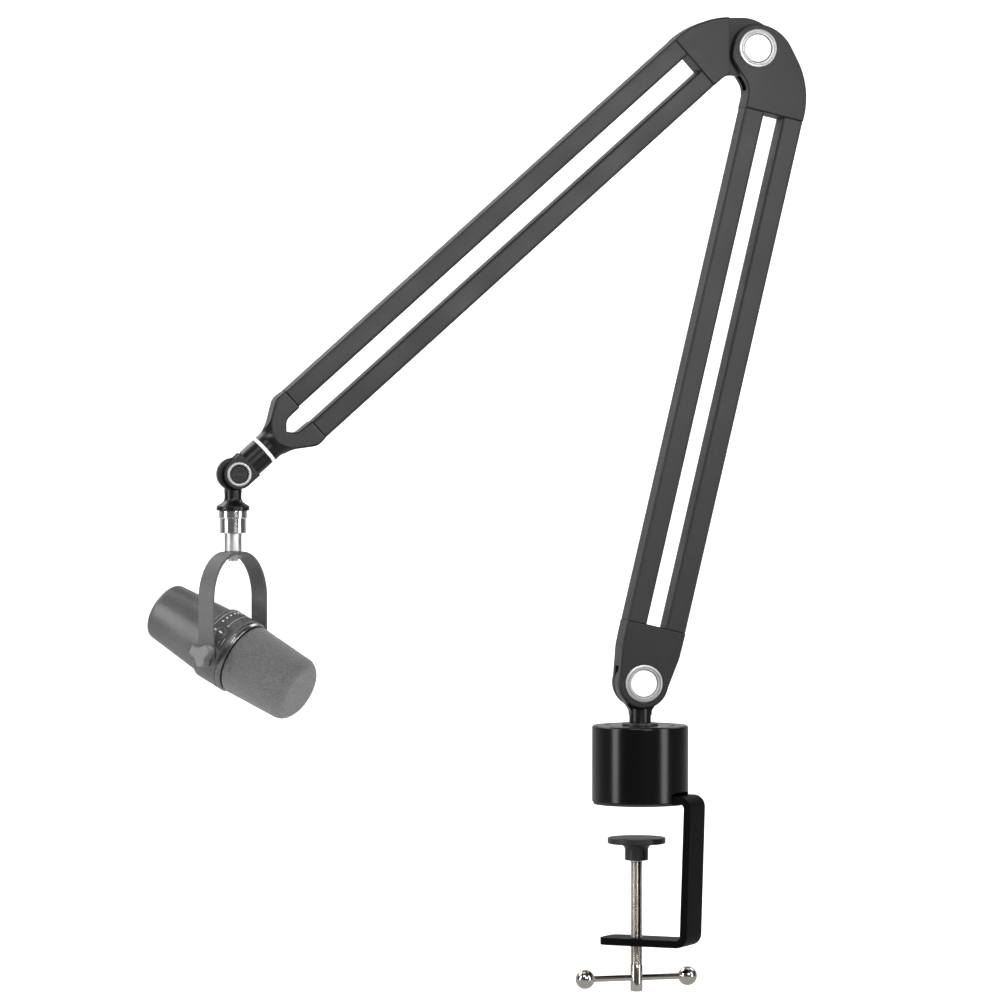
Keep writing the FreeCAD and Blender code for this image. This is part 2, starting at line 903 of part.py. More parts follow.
def channel(label, place, centre, side):
    """A hollow rectangular section, drilled through its sides for the spring anchors."""
    x = centre + side * dim.channel_pitch
    wall = 2 * dim.channel_wall
    body = new_body(label, at(place, x=x, z=dim.channel_start))
    section = new_sketch(body, "XY_Plane")
    draw_rectangle(section, 0, 0, dim.channel_width, dim.channel_depth, 1.8)
    draw_rectangle(section, 0, 0, dim.channel_width - wall, dim.channel_depth - wall, 0.6)
    add(body, section, dim.channel_length)
    holes = new_sketch(body, "YZ_Plane")
    for level in (PIN_START, PIN_END):
        draw_circle(holes, 0, level, PIN_RADIUS + 0.02)
    cut(body, holes, dim.channel_width + 2, both_ways=True)
    return body


def anchor_pins(label, place, centre):
    """Four pins across the channels, two for each spring."""
    half = dim.channel_width / 2
    pins = []
    for side in (-1, 1):
        for level in (PIN_START, PIN_END):
            x = centre + side * dim.channel_pitch
            spot = at(place, x=x, z=dim.channel_start + level, rotation=about_y(90))
            pins.append(turned("anchor_pin", spot, [
                (0, -half),
                (PIN_RADIUS, -half, 0.2),
                (PIN_RADIUS, half, 0.2),
                (0, half),
            ]))
    return group(label, pins)


def springs(label, place, centre):
    """Stretched tension springs; each end coil sits behind its anchor pin."""
    coils = []
    for side in (-1, 1):
        x = centre + side * dim.channel_pitch
        start = dim.channel_start + PIN_START - dim.coil_pitch * 0.75
        spot = at(place, x=x, z=start)
        path = doc.addObject("Part::Helix", "coil_path")
        bind(path, "Pitch", dim.coil_pitch)
        bind(path, "Height", dim.coil_length)
        bind(path, "Radius", dim.coil_radius)
        path.Placement = spot
        wire = doc.addObject("Part::Circle", "coil_wire")
        bind(wire, "Radius", dim.wire_radius)
        wire.Placement = at(spot, x=dim.coil_radius, rotation=about_x(90))
        coil = doc.addObject("Part::Sweep", "coil")
        coil.Sections = [wire]
        coil.Spine = (path, ["Edge1"])
        coil.Solid = True
        coil.Frenet = True
        coils.append(coil)
    return group(label, coils)


def arm_yoke():
    """Y-shaped end of the upper arm, turned down to a round neck."""
    half = dim.channel_pitch + dim.channel_width / 2
    block = dim.head_reach - dim.channel_start - dim.channel_length
    neck = dim.neck_round
    body = new_body("arm_yoke", YOKE_END)
    side = new_sketch(body, "XZ_Plane")
    draw_outline(side, [
        (neck + 1, 0.05),
        (neck + 1, 11, 14),
        (half + 0.9, 26, 10),
        (half, block, 1),
        (5.9, block, 1),
        (5.5, 21.5, 6),
        (0, 16.6, 0.8),
        (-5.5, 21.5, 6),
        (-5.9, block, 1),
        (-half, block, 1),
        (-half - 0.9, 26, 10),
        (-neck - 1, 11, 14),
        (-neck - 1, 0.05),
    ])
    add(body, side, dim.channel_depth, both_ways=True)
    soften(body, 1.2, on_faces_at(dim.channel_depth.value / 2))
    turn(body, [
        (neck, -1),
        (neck, 6.5, 9),
        (23, 22),
        (34, 22),
        (34, -1),
    ], kind="Groove")
    hole = new_sketch(body, "XY_Plane")
    draw_circle(hole, 0, 0, 3.02)
    cut(body, hole, 20, reverse=True)
    seat = new_sketch(body, "XY_Plane", 12)
    draw_circle(seat, 0, 0, 4.7)
    cut(body, seat, 26, reverse=True)
    add_spigots(body, 0, block)
    return body


# ---------------------------------------------------------------- head


def head_washer():
    """White nylon washer that the head swivels on."""
    radius = dim.neck_round + 0.15
    return turned("head_washer", HEAD, [
        (3.04, 0.02),
        (radius, 0.02, 0.4),
        (radius, 2.3, 0.4),
        (3.04, 2.3),
    ])


def head_barrel():
    """Round barrel that ends in two ears for the stem."""
    radius = dim.knuckle_radius
    reach = dim.knuckle_span
    body = new_body("head_barrel", HEAD)
    turn(body, [
        (3.05, 2.35),
        (radius, 2.35, 0.7),
        (radius, 17),
        (3.05, 17),
    ])
    ears = new_sketch(body, "XZ_Plane")
    draw_outline(ears, [
        (-radius, 14.5),
        (radius, 14.5),
        (radius, reach + radius, radius - 0.1),
        (-radius, reach + radius, radius - 0.1),
    ])
    add(body, ears, dim.knuckle_depth, both_ways=True)
    slot = new_sketch(body, "XZ_Plane")
    draw_circle(slot, 0, reach, dim.stem_offset + 10.9)
    cut(body, slot, dim.knuckle_slot, both_ways=True)
    pocket = new_sketch(body, "XY_Plane", 14)
    draw_circle(pocket, 0, 0, 5.3)
    cut(body, pocket, 7.4)
    bore_hinge(body, 0, reach, dim.knuckle_depth, 3.02, 5.4, 5.6, 7.95, 8.2)
    return body


def head_bolt():
    """Runs from the yoke's fork through the neck and washer into the barrel."""
    return socket_bolt("head_bolt", YOKE_END, 3, 4.5, 12.05, 15.6, -10.2, 3)


def head_nut():
    return hex_nut("head_nut", HEAD, 8.6, 3.01, 6.65, 9.8)


def tilt_bolt():
    return socket_bolt("tilt_bolt", facing(KNUCKLE), 3, 5.1, 5.65, 8.1, -8.0, 3)


def tilt_nut():
    return hex_nut("tilt_nut", facing(KNUCKLE, False), 9.2, 3.01, 5.65, 8.0)


def tilt_caps():
    """Dished caps over the bolt head and nut."""
    caps = []
    for front in (True, False):
        caps.append(turned("tilt_cap", facing(KNUCKLE, front), [
            (0, 8.25),
            (7.9, 8.25),
            (7.9, 10.3, 0.6),
            (5.6, 10.3, 0.4),
            (5.6, 9.6),
            (0, 9.6),
        ]))
    return group("tilt_caps", caps)


def stem():
    """Off-centre eye, short shaft, flange and the threaded end."""
    shaft = dim.stem_radius
    top = -9.9
    flange = -20.6
    body = new_body("stem", STEM)
    turn(body, [
        (0, top),
        (shaft, top, 0.4),
        (shaft, -17.2, 4),
        (dim.stem_flange, flange, 0.5),
        (dim.stem_flange, flange - 2.7, 0.4),
        (6, flange - 2.7),
        (6, -33.4, 0.4),
        (0, -33.4),
    ])
    eye = new_sketch(body, "XZ_Plane")
    draw_circle(eye, 0, 0, 10.5)
    add(body, eye, dim.knuckle_slot - 0.2, both_ways=True)
    web = new_sketch(body, "XZ_Plane")
    draw_rectangle(web, 0, -6, 2 * shaft - 0.4, 12)
    add(body, web, dim.knuckle_slot - 0.2, both_ways=True)
    bore = new_sketch(body, "XZ_Plane")
    draw_circle(bore, dim.stem_offset, 0, 3.05)
    cut(body, bore, 20, both_ways=True)
    return body


# ---------------------------------------------------------------- microphone mount

SLEEVE_TOP = -23.35
SLEEVE_END = -37.9


def thread_sleeve():
    """Adapter nut that carries the microphone under the stem's thread."""
    radius = dim.sleeve_radius
    return turned("thread_sleeve", STEM, [
        (6.05, SLEEVE_TOP),
        (radius + 0.7, SLEEVE_TOP, 0.4),
        (radius + 0.7, SLEEVE_TOP - 4.6, 0.4),
        (radius, SLEEVE_TOP - 5.2),
        (radius, SLEEVE_END, 0.5),
        (4.02, SLEEVE_END),
        (4.02, -33.6),
        (6.05, -33.6),
    ])


def mic_post():
    """Short post between the adapter nut and the yoke."""
    top = dim.pivot_drop + SLEEVE_END
    low = dim.yoke_top + 0.03
    return turned("mic_post", MOUNT, [
        (0, top + 3.8),
        (4, top + 3.8, 0.3),
        (4, top),
        (dim.stem_radius, top),
        (dim.stem_radius, low, 0.3),
        (3, low),
        (3, low - 6.4, 0.3),
        (0, low - 6.4),
    ])


def yoke_nut():
    top = dim.yoke_top - dim.yoke_thick
    return hex_nut("yoke_nut", MOUNT, 9.8, 3.01, top - 3.1, top - 0.22)


def mic_yoke():
    """Flat strap bent into a U, pivoted to both sides of the microphone."""
    outer = dim.yoke_half + dim.yoke_thick / 2
    inner = outer - dim.yoke_thick
    top = dim.yoke_top
    bend = 30
    body = new_body("mic_yoke", MOUNT)
    side = new_sketch(body, "XZ_Plane")
    draw_outline(side, [
        (outer, -8),
        (outer, top, bend),
        (-outer, top, bend),
        (-outer, -8),
        (-inner, -8),
        (-inner, top - dim.yoke_thick, bend - dim.yoke_thick),
        (inner, top - dim.yoke_thick, bend - dim.yoke_thick),
        (inner, -8),
    ])
    add(body, side, dim.yoke_width, both_ways=True)

    def leg_end(edge):
        box = edge.BoundBox
        across = box.YLength < 1e-6 and box.ZLength < 1e-6
        return across and abs(box.ZMin + 8) < 1e-6

    soften(body, 5.3, leg_end)
    pivots = new_sketch(body, "YZ_Plane")
    draw_circle(pivots, 0, 0, 3.05)
    cut(body, pivots, 90, both_ways=True)
    hole = new_sketch(body, "XY_Plane", top + 1)
    draw_circle(hole, 0, 0, 3.02)
    cut(body, hole, 6)
    return body


def thumb_screw(label, side):
    """Three-lobed knob with an M6 shank, along the pivot axis."""
    lobes = []
    for n in range(3):
        peak = math.radians(120 * n + 90)
        dip = math.radians(120 * n + 150)
        for spread in (-0.36, 0.36):
            lobes.append((8.6 * math.cos(peak + spread), 8.6 * math.sin(peak + spread), 2.2))
        lobes.append((4.6 * math.cos(dip), 4.6 * math.sin(dip), 3))
    face = dim.yoke_half + dim.yoke_thick / 2 + 0.05
    body = new_body(label, at(MIC, rotation=about_y(90 * side)))
    knob = new_sketch(body, "XY_Plane", face + 1.2)
    draw_outline(knob, lobes)
    add(body, knob, 6.6)
    soften(body, 0.8, lambda edge: edge.BoundBox.ZLength < 1e-6)
    turn(body, [
        (0, 24),
        (3, 24, 0.4),
        (3, face),
        (5, face),
        (5, face + 2),
        (0, face + 2),
    ])
    return body


BOSS_START = 21.5
BOSS_END = 30


def pivot_washers():
    """Rubber washers between the microphone's bosses and the yoke."""
    outer = dim.yoke_half - dim.yoke_thick / 2 - 0.03
    washers = []
    for side in (-1, 1):
        washers.append(turned("pivot_washer", at(MIC, rotation=about_y(90 * side)), [
            (3.06, BOSS_END + 0.05),
            (6.6, BOSS_END + 0.05, 0.2),
            (6.6, outer, 0.2),
            (3.06, outer),
        ]))
    return group("pivot_washers", washers)


# ---------------------------------------------------------------- microphone

BODY_START = -54.6
COLLAR_START = -13.4
COLLAR_END = 5
PANEL_SWEEP = 150


def mic_body():
    """Tapered tube that holds the circuit board."""
    wall = 2
    body = turned("mic_body", MIC_AXIS, [
        (dim.body_back - wall, BODY_START),
        (dim.body_back, BODY_START),
        (dim.body_front, COLLAR_START - 0.1, 0.8),
        (dim.body_front - wall, COLLAR_START - 0.1),
    ])
    return body


def back_cap():
    """Rounded end cap with the cable socket's opening."""
    outer = dim.body_back
    spigot = outer - 2.05
    body = turned("back_cap", MIC_AXIS, [
        (0, -dim.mic_back),
        (outer, -dim.mic_back, 3.2),
        (outer, BODY_START - 0.03),
        (spigot, BODY_START - 0.03),
        (spigot, BODY_START + 3),
        (spigot - 1.6, BODY_START + 3),
        (spigot - 1.6, BODY_START - 1.2),
        (0, BODY_START - 1.2),
    ])
    port = new_sketch(body, "XY_Plane", -50)
    draw_rectangle(port, 0, 0, 9.4, 3.7, 1.6)
    cut(body, port, 12)
    return body


def panel_sector(name, outer, inner, low, high, sweep):
    """A ring sector centred on the microphone's upper side."""
    return sector(name, MIC_AXIS, outer, inner, low, high, 90 - sweep / 2, sweep)


def mic_collar():
    """Wider ring ahead of the body: pivot bosses at the sides, control panel above."""
    body = new_body("collar_ring", MIC_AXIS)
    turn(body, [
        (dim.collar_mic - 4, COLLAR_START),
        (dim.collar_mic, COLLAR_START, 1.2),
        (dim.collar_mic, COLLAR_END, 0.6),
        (dim.collar_mic - 4, COLLAR_END),
    ])
    for side in (1, -1):
        boss = new_sketch(body, "YZ_Plane", side * BOSS_START)
        draw_circle(boss, 0, 0, COLLAR_END - 0.05)
        add(body, boss, BOSS_END - BOSS_START, reverse=side < 0)
    holes = new_sketch(body, "YZ_Plane")
    draw_circle(holes, 0, 0, 3.05)
    cut(body, holes, 80, both_ways=True)
    recess = panel_sector("recess", dim.collar_mic + 1, dim.collar_mic - 2, -11.6, 3.4, PANEL_SWEEP)
    return subtract("mic_collar", body, recess)


BUTTON_ANGLE = 56
BUTTON_LEVEL = -3
BUTTON_RADIUS = 3.2
LIGHT_LEVEL = -7.4
LIGHT_RADIUS = 0.6
LIGHT_ANGLES = [38 - 9.2 * n for n in range(6)] + [BUTTON_ANGLE]


def radial(angle, level):
    """A frame on the microphone's axis with Z pointing out at an angle from straight up."""
    spin = Rotation(Vector(0, 0, 1), angle) * about_x(-90)
    return at(MIC_AXIS, z=level, rotation=spin)


def peg(name, place, radius, low, high):
    pin = doc.addObject("Part::Cylinder", name)
    bind(pin, "Radius", radius)
    bind(pin, "Height", high - low)
    pin.Placement = at(place, z=low)
    return pin


def control_panel():
    """Curved plate flush with the collar, with holes for the lights and the button."""
    plate = panel_sector(
        "panel_plate", dim.collar_mic - 0.1, dim.collar_mic - 1.95, -11.55, 3.35, PANEL_SWEEP - 0.3
    )
    drills = [peg("button_hole", radial(BUTTON_ANGLE, BUTTON_LEVEL), BUTTON_RADIUS + 0.06, 20, 28)]
    for angle in LIGHT_ANGLES:
        drills.append(peg("light_hole", radial(angle, LIGHT_LEVEL), LIGHT_RADIUS + 0.02, 20, 28))
    return subtract("control_panel", plate, group("panel_drills", drills))


def status_lights():
    """Light pipes for the level display."""
    pipes = []
    for angle in LIGHT_ANGLES:
        place = radial(angle, LIGHT_LEVEL)
        pipes.append(peg("light_pipe", place, LIGHT_RADIUS, dim.collar_mic - 1.9, dim.collar_mic + 0.1))
    return group("status_lights", pipes)


def mute_button():
    """Round key that travels into the panel."""
    face = dim.collar_mic
    return turned("mute_button", radial(BUTTON_ANGLE, BUTTON_LEVEL), [
        (0, face - 1.1),
        (BUTTON_RADIUS, face - 1.1),
        (BUTTON_RADIUS, face + 0.5, 0.5),
        (0, face + 0.5),
    ])


def trim_ring():
    """Bright ring between the collar and the windscreen."""
    return turned("trim_ring", MIC_AXIS, [
        (20.6, COLLAR_END + 0.03),
        (dim.collar_mic - 0.3, COLLAR_END + 0.03, 0.4),
        (dim.collar_mic + 0.2, COLLAR_END + 2, 1.2),
        (dim.collar_mic - 0.7, COLLAR_END + 4, 0.8),
        (17, COLLAR_END + 4),
        (17, COLLAR_END + 2.5),
        (20.6, COLLAR_END + 2.5),
    ])


def grille_basket():
    """Mesh cage under the foam, a thin domed shell."""
    wall = 0.8
    start = COLLAR_END + 4.05
    top = 49
    return turned("grille_basket", MIC_AXIS, [
        (17.8 - wall, start),
        (17.8, start),
        (17.8, top, 9),
        (0, top),
        (0, top - wall),
        (17.8 - wall, top - wall, 8.2),
    ])


def windscreen():
    """Foam cover with a rounded nose, open behind for the grille."""
    back = COLLAR_END + 4.1
    return turned("windscreen", MIC_AXIS, [
        (18.0, back),
        (dim.foam_radius, back, 2.4),
        (dim.foam_tip, dim.mic_front, 7.5),
        (0, dim.mic_front),
        (0, 49.3),
        (18.0, 49.3, 9),
    ])


def capsule():
    """Electret condenser capsule behind the grille."""
    return turned("capsule", MIC_AXIS, [
        (0, 26),
        (8, 26),
        (8, 34, 0.6),
        (6.6, 34),
        (6.6, 33.2),
        (0, 33.2),
    ])


def capsule_holder():
    """Rubber cup that carries the capsule ahead of the collar."""
    return turned("capsule_holder", MIC_AXIS, [
        (0, 24),
        (9.6, 24),
        (9.6, 31),
        (8.02, 31),
        (8.02, 25.95),
        (3, 25.95),
        (0, 25.95),
    ])


def capsule_post():
    """Tube and disc that close the collar's mouth and hold the capsule cup."""
    return turned("capsule_post", MIC_AXIS, [
        (3.2, -2),
        (20.4, -2),
        (20.4, 0.5),
        (5.2, 0.5, 1.5),
        (5.2, 23.95),
        (3.2, 23.95),
    ])


def circuit_board():
    body = new_body("circuit_board", MIC_AXIS)
    board = new_sketch(body, "XZ_Plane", 0.8)
    draw_rectangle(board, 0, -28, 30, 44, 1)
    add(body, board, 1.6, reverse=True)
    return body


def usb_socket():
    """Cable socket on the board's edge, reaching into the back cap."""
    body = new_body("usb_socket", MIC_AXIS)
    shell = new_sketch(body, "XY_Plane", -57.6)
    draw_rectangle(shell, 0, 0, 9, 3.3, 1.4)
    draw_rectangle(shell, 0, 0, 8.3, 2.6, 1.1)
    add(body, shell, 7.3)
    tongue = new_sketch(body, "XY_Plane", -50.6)
    draw_rectangle(tongue, 0, 0, 9, 3.3, 1.4)
    add(body, tongue, 0.5)
    return body


# ---------------------------------------------------------------- the assembly


def build():
    keep(base_housing())
    keep(foot_pad())
    keep(swivel_bushing())
    keep(thrust_washer())
    keep(retaining_ring())
    keep(clamp_bracket())
    keep(bracket_screws())
    keep(swivel_post())
    keep(clamp_pad())
    keep(clamp_screw())
    keep(handle_bar())
    keep(handle_balls())

    keep(lower_clevis())
    keep(elbow_fork())
    keep(hinge_bolts())
    keep(hinge_nuts())
    keep(hinge_washers())
    keep(cap_rings("lower_hinge_rings", LOWER, dim.ring_lower, 8.75))
    keep(cap_discs("lower_hinge_discs", LOWER, 8.7))
    keep(cap_rings("elbow_rings", ELBOW, dim.ring_elbow, 9.0))
    keep(cap_discs("elbow_discs", ELBOW, 8.95))
    for arm, place, centre in (("lower", LOWER, 0), ("upper", UPPER, dim.hinge_offset)):
        keep(channel(arm + "_channel_inner", place, centre, -1))
        keep(channel(arm + "_channel_outer", place, centre, 1))
        keep(springs(arm + "_springs", place, centre))
        keep(anchor_pins(arm + "_anchor_pins", place, centre))
    keep(elbow_tongue())
    keep(arm_yoke())

    keep(head_washer())
    keep(head_barrel())
    keep(head_bolt())
    keep(head_nut())
    keep(tilt_bolt())
    keep(tilt_nut())
    keep(tilt_caps())
    keep(stem())

    keep(thread_sleeve())
    keep(mic_post())
    keep(yoke_nut())
    keep(mic_yoke())
    keep(thumb_screw("left_thumb_screw", -1))
    keep(thumb_screw("right_thumb_screw", 1))
    keep(pivot_washers())
    keep(mic_body())
    keep(back_cap())
    keep(mic_collar())
    keep(control_panel())
    keep(status_lights())
    keep(mute_button())
    keep(trim_ring())
    keep(grille_basket())
    keep(windscreen())
    keep(capsule())
    keep(capsule_holder())
    keep(capsule_post())
    keep(circuit_board())
    keep(usb_socket())


def check():
    """Stop on any failed object or bad shape, before anything is written."""
    doc.recompute()
    for thing in doc.Objects:
        if {"Invalid", "Error"} & set(thing.State):
            raise ValueError(f"{thing.Label} failed: {thing.State}")
    for thing in nodes:
        if thing.Shape.isNull() or not thing.Shape.isValid() or not thing.Shape.Solids:
            raise ValueError(f"{thing.Label} has a bad shape")


def write():
    os.makedirs("parts", exist_ok=True)
    for thing in nodes:
        thing.Shape.exportStep(f"parts/{thing.Label}.step")


build()
check()
write()
print(f"{len(nodes)} sub-parts written")
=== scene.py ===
import json
import math

import bpy
import numpy as np
from mathutils import Matrix, Vector, noise


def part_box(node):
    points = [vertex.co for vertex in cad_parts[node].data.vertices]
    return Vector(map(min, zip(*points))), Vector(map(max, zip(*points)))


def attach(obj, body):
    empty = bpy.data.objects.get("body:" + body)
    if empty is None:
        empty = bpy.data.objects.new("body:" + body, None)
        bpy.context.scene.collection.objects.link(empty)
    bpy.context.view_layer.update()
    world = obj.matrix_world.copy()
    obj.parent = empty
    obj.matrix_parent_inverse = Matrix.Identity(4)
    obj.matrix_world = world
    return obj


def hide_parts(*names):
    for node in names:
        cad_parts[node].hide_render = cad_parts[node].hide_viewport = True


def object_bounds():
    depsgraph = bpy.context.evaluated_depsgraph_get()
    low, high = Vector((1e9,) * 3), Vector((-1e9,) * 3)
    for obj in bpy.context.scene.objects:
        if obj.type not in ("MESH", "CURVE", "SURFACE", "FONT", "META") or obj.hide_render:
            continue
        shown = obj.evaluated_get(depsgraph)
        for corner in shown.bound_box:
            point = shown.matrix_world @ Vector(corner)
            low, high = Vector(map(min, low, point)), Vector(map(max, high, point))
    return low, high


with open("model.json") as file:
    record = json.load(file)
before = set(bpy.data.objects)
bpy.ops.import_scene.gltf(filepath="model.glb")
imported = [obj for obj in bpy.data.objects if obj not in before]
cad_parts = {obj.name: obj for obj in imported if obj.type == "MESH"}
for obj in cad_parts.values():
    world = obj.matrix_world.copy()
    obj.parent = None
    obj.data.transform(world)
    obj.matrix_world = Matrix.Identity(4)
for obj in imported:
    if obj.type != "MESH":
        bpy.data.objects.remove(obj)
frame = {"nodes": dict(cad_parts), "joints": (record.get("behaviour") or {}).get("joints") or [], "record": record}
cad_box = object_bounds()

MM = 0.001
nodes = frame["nodes"]
joints = {joint["name"]: joint for joint in frame["joints"]}


# ---------------------------------------------------------------- places read from the frame


def hinge_point(name):
    """A point on a joint's axis, in metres."""
    return Vector(joints[name]["pos_m"])


def joint_axis(name):
    """A joint's direction, as a vector of length 1."""
    return Vector(joints[name]["axis"]).normalized()


def vertices_of(node):
    """A node's points, one to a row."""
    return np.array([v.co for v in nodes[node].data.vertices], float)


def reach(node, origin, axis):
    """Lowest and highest distance of a node's points from origin along an axis."""
    along = (vertices_of(node) - np.array(origin)) @ np.array(axis)
    return along.min(), along.max()


def radius_of(node, origin, axis):
    """Largest distance of a node's points from an axis."""
    offset = vertices_of(node) - np.array(origin)
    along = np.outer(offset @ np.array(axis), np.array(axis))
    return float(np.linalg.norm(offset - along, axis=1).max())


def frame_of(origin, z_axis, x_axis):
    """A matrix with its Z along one direction and its X near another."""
    z = Vector(z_axis).normalized()
    y = z.cross(Vector(x_axis)).normalized()
    x = y.cross(z)
    matrix = Matrix((x, y, z)).transposed().to_4x4()
    matrix.translation = Vector(origin)
    return matrix


# ---------------------------------------------------------------- material tools


class Shader:
    """A node material that starts as one Principled surface."""

    def __init__(self, name):
        self.material = bpy.data.materials.new(name)
        self.material.use_nodes = True
        self.tree = self.material.node_tree
        self.surface = self.tree.nodes["Principled BSDF"]
        self.place = self.add("ShaderNodeTexCoord").outputs["Object"]

    def add(self, kind, **inputs):
        """A new node with its inputs set; their names have _ for a space."""
        node = self.tree.nodes.new(kind)
        for name, value in inputs.items():
            self.feed(node.inputs[name.replace("_", " ")], value)
        return node

    def feed(self, socket, value):
        """Link a socket to another node's output, or give it a fixed value."""
        if isinstance(value, bpy.types.NodeSocket):
            self.tree.links.new(value, socket)
        else:
            socket.default_value = value

    def set(self, **inputs):
        """Feed inputs of the Principled surface; their names have _ for a space."""
        for name, value in inputs.items():
            self.feed(self.surface.inputs[name.replace("_", " ")], value)

    def noise(self, size, detail=3.0):
        """Noise with features of a size in metres, from 0 to 1."""
        node = self.add("ShaderNodeTexNoise", Scale=1.0 / size, Detail=detail, Roughness=0.55)
        self.feed(node.inputs["Vector"], self.place)
        return node.outputs["Fac"]

    def cells(self, size, feature="F1"):
        """Distance from the middle or the edge of a cell, for cells of a size in metres."""
        node = self.add("ShaderNodeTexVoronoi", Scale=1.0 / size)
        node.feature = feature
        self.feed(node.inputs["Vector"], self.place)
        return node.outputs["Distance"]

    def span(self, value, low, high, out_low, out_high):
        """Map a value from one range to another, clamped."""
        node = self.add("ShaderNodeMapRange")
        self.feed(node.inputs["Value"], value)
        node.inputs["From Min"].default_value = low
        node.inputs["From Max"].default_value = high
        node.inputs["To Min"].default_value = out_low
        node.inputs["To Max"].default_value = out_high
        return node.outputs["Result"]

    def blend(self, factor, first, second):
        """The first colour where factor is 0 and the second where it is 1."""
        node = self.tree.nodes.new("ShaderNodeMix")
        node.data_type = "RGBA"
        self.feed(node.inputs["Factor"], factor)
        # a Mix node's colours are its inputs 6 and 7 and its output 2
        self.feed(node.inputs[6], first)
        self.feed(node.inputs[7], second)
        return node.outputs[2]

    def combine(self, kind, first, second):
        """ADD, MULTIPLY or SUBTRACT two values."""
        node = self.tree.nodes.new("ShaderNodeMath")
        node.operation = kind
        self.feed(node.inputs[0], first)
        self.feed(node.inputs[1], second)
        return node.outputs[0]

    def bump(self, height, depth, normal=None):
        """Raise the surface by height times depth, in metres."""
        node = self.add("ShaderNodeBump", Strength=1.0, Distance=depth)
        self.feed(node.inputs["Height"], height)
        if normal is not None:
            self.feed(node.inputs["Normal"], normal)
        return node.outputs["Normal"]

    def rounded(self, radius):
        """The surface normal with its edges rounded off."""
        node = self.add("ShaderNodeBevel", Radius=radius)
        node.samples = 4
        return node.outputs["Normal"]

    def edges(self, radius):
        """About 1 on a sharp edge and 0 on a flat face."""
        soft = self.rounded(radius)
        true = self.add("ShaderNodeNewGeometry").outputs["Normal"]
        node = self.tree.nodes.new("ShaderNodeVectorMath")
        node.operation = "DOT_PRODUCT"
        self.feed(node.inputs[0], soft)
        self.feed(node.inputs[1], true)
        return self.span(node.outputs["Value"], 0.75, 0.98, 1.0, 0.0)


def grey(level):
    """A colour with the same red, green and blue."""
    return (level, level, level, 1.0)


def darker(colour, part):
    """A colour with its red, green and blue multiplied by part."""
    return tuple(c * part for c in colour[:3]) + (1.0,)


def coated(name, level, roughness, grain, grain_depth, wear=0.5, blotch=1.0, coat=0.0, shine=0.5):
    """Powder coat or moulded plastic: fine grain, soft smudges and paler worn edges.

    grain and grain_depth are in metres; wear, blotch, coat and shine run from 0 to 1.
    """
    shader = Shader(name)
    smudge = shader.noise(0.035, detail=4)
    fine = shader.noise(grain, detail=2)
    speckle = shader.noise(grain * 5, detail=2)
    dark, pale = grey(level * (1 - 0.14 * blotch)), grey(level * (1 + 0.15 * blotch))
    tone = shader.blend(shader.span(smudge, 0.35, 0.7, 0, 1), dark, pale)
    specks = shader.span(speckle, 0.45, 0.75, 0.0, 0.35 * blotch)
    tone = shader.blend(specks, tone, grey(level * 1.5))
    corners = shader.edges(0.0005)
    patches = shader.span(shader.noise(0.006), 0.45, 0.7, 0.1, wear)
    worn = shader.combine("MULTIPLY", corners, patches)
    tone = shader.blend(worn, tone, grey(level * 2.6))
    rough = shader.span(smudge, 0.3, 0.75, roughness - 0.05 * blotch, roughness + 0.07 * blotch)
    normal = shader.bump(fine, grain_depth, normal=shader.rounded(0.00045))
    shader.set(Base_Color=tone, Roughness=rough, Normal=normal)
    shader.set(Specular_IOR_Level=shine, Coat_Weight=coat, Coat_Roughness=0.25)
    return shader.material


def metal(name, colour, roughness, metallic=1.0, soften=0.0003):
    """Plated or turned metal with fine scratches, soft smudges and edges rounded by soften."""
    shader = Shader(name)
    smudge = shader.noise(0.008, detail=5)
    scratch = shader.noise(0.0004)
    rough = shader.span(smudge, 0.3, 0.75, roughness * 0.75, roughness * 1.45)
    tone = shader.blend(shader.span(smudge, 0.45, 0.8, 0.0, 0.7), colour, darker(colour, 0.82))
    normal = shader.bump(scratch, 0.000004, normal=shader.rounded(soften))
    shader.set(Base_Color=tone, Roughness=rough, Metallic=metallic, Normal=normal)
    return shader.material


def rubber(name, level):
    """Moulded rubber with a fine pebbled skin and a little dust."""
    shader = Shader(name)
    dust = shader.noise(0.004, detail=5)
    tone = shader.blend(shader.span(dust, 0.5, 0.8, 0.0, 0.6), grey(level), grey(level * 2.2))
    normal = shader.bump(shader.cells(0.0009), 0.00008, normal=shader.rounded(0.0004))
    shader.set(Base_Color=tone, Roughness=shader.span(dust, 0.3, 0.7, 0.62, 0.85), Normal=normal)
    return shader.material


def foam(name, level):
    """Open-cell foam: pores darkened with painted shade between paler walls, with a soft sheen."""
    shader = Shader(name)
    pores = shader.cells(0.0011)
    fine = shader.cells(0.0006)
    large = shader.span(pores, 0.1, 0.65, 0, 0.7)
    small = shader.span(fine, 0.1, 0.6, 0, 0.3)
    pore_shade_and_depth = shader.combine("ADD", large, small)
    # painted shade: the pores are coloured darker than their walls, for the shade inside the open cells; the same
    # mask bumps them in
    tone = shader.blend(pore_shade_and_depth, grey(level * 0.55), grey(level * 1.3))
    shade = shader.span(shader.noise(0.012, detail=4), 0.35, 0.7, 0.0, 0.35)
    tone = shader.blend(shade, tone, grey(level * 0.85))
    shader.set(Base_Color=tone, Roughness=0.92, Normal=shader.bump(pore_shade_and_depth, 0.0004))
    shader.set(Sheen_Weight=0.25, Sheen_Roughness=0.5)
    return shader.material


def lit_plastic(name, colour, glow):
    """Pale plastic lit faintly from inside."""
    shader = Shader(name)
    soft = shader.noise(0.0012)
    tone = shader.blend(shader.span(soft, 0.3, 0.7, 0, 1), colour, darker(colour, 0.88))
    shader.set(Base_Color=tone, Roughness=0.32, Emission_Color=colour, Emission_Strength=glow)
    shader.set(Normal=shader.rounded(0.0002))
    return shader.material


